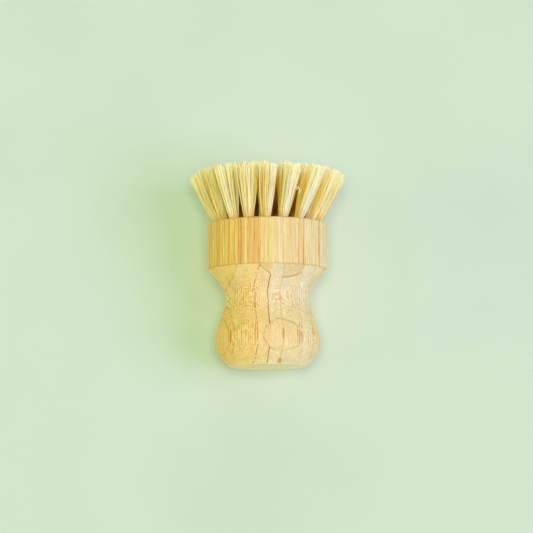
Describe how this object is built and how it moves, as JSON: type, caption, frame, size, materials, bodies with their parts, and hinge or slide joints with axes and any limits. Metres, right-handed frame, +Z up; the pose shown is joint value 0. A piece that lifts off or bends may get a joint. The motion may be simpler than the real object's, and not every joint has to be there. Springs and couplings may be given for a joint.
{
  "type": "palm brush",
  "caption": "Round palm brush: a waisted turned bamboo knob, a drilled bamboo head and a fan of plant-fibre tufts, for proofing baskets.",
  "frame": {"origin": "centre of the handle's flat end, on which the brush stands", "axes": "+Z up along the brush's axis, from the handle to the bristle tips; +Y away from the viewer in the picture"},
  "size_m": [0.0638, 0.0642, 0.0835],
  "materials": {
    "bamboo": "laminated bamboo, turned and sanded, satin",
    "head_bamboo": "bamboo of upright strips, turned and sanded, satin",
    "beech": "plain, fluted",
    "plant_fibre": "stiff pale agave fibre, matt",
    "anchor_steel": "flat wire, cut ends"
  },
  "bodies": {
    "root": {"handle": "bamboo", "head_block": "head_bamboo", "joining_dowel": "beech", "tuft_centre_01": "plant_fibre", "tuft_inner_01": "plant_fibre", "tuft_inner_02": "plant_fibre", "tuft_inner_03": "plant_fibre", "tuft_inner_04": "plant_fibre", "tuft_inner_05": "plant_fibre", "tuft_inner_06": "plant_fibre", "tuft_middle_01": "plant_fibre", "tuft_middle_02": "plant_fibre", "tuft_middle_03": "plant_fibre", "tuft_middle_04": "plant_fibre", "tuft_middle_05": "plant_fibre", "tuft_middle_06": "plant_fibre", "tuft_middle_07": "plant_fibre", "tuft_middle_08": "plant_fibre", "tuft_middle_09": "plant_fibre", "tuft_middle_10": "plant_fibre", "tuft_middle_11": "plant_fibre", "tuft_middle_12": "plant_fibre", "tuft_outer_01": "plant_fibre", "tuft_outer_02": "plant_fibre", "tuft_outer_03": "plant_fibre", "tuft_outer_04": "plant_fibre", "tuft_outer_05": "plant_fibre", "tuft_outer_06": "plant_fibre", "tuft_outer_07": "plant_fibre", "tuft_outer_08": "plant_fibre", "tuft_outer_09": "plant_fibre", "tuft_outer_10": "plant_fibre", "tuft_outer_11": "plant_fibre", "tuft_outer_12": "plant_fibre", "tuft_outer_13": "plant_fibre", "tuft_outer_14": "plant_fibre", "tuft_outer_15": "plant_fibre", "tuft_outer_16": "plant_fibre", "tuft_outer_17": "plant_fibre", "tuft_outer_18": "plant_fibre", "anchor_outer_01": "anchor_steel", "anchor_outer_02": "anchor_steel", "anchor_outer_03": "anchor_steel", "anchor_outer_04": "anchor_steel", "anchor_outer_05": "anchor_steel", "anchor_outer_06": "anchor_steel", "anchor_outer_07": "anchor_steel", "anchor_outer_08": "anchor_steel", "anchor_outer_09": "anchor_steel", "anchor_outer_10": "anchor_steel", "anchor_outer_11": "anchor_steel", "anchor_outer_12": "anchor_steel", "anchor_outer_13": "anchor_steel", "anchor_outer_14": "anchor_steel", "anchor_outer_15": "anchor_steel", "anchor_outer_16": "anchor_steel", "anchor_outer_17": "anchor_steel", "anchor_outer_18": "anchor_steel"}
  },
  "joints": []
}
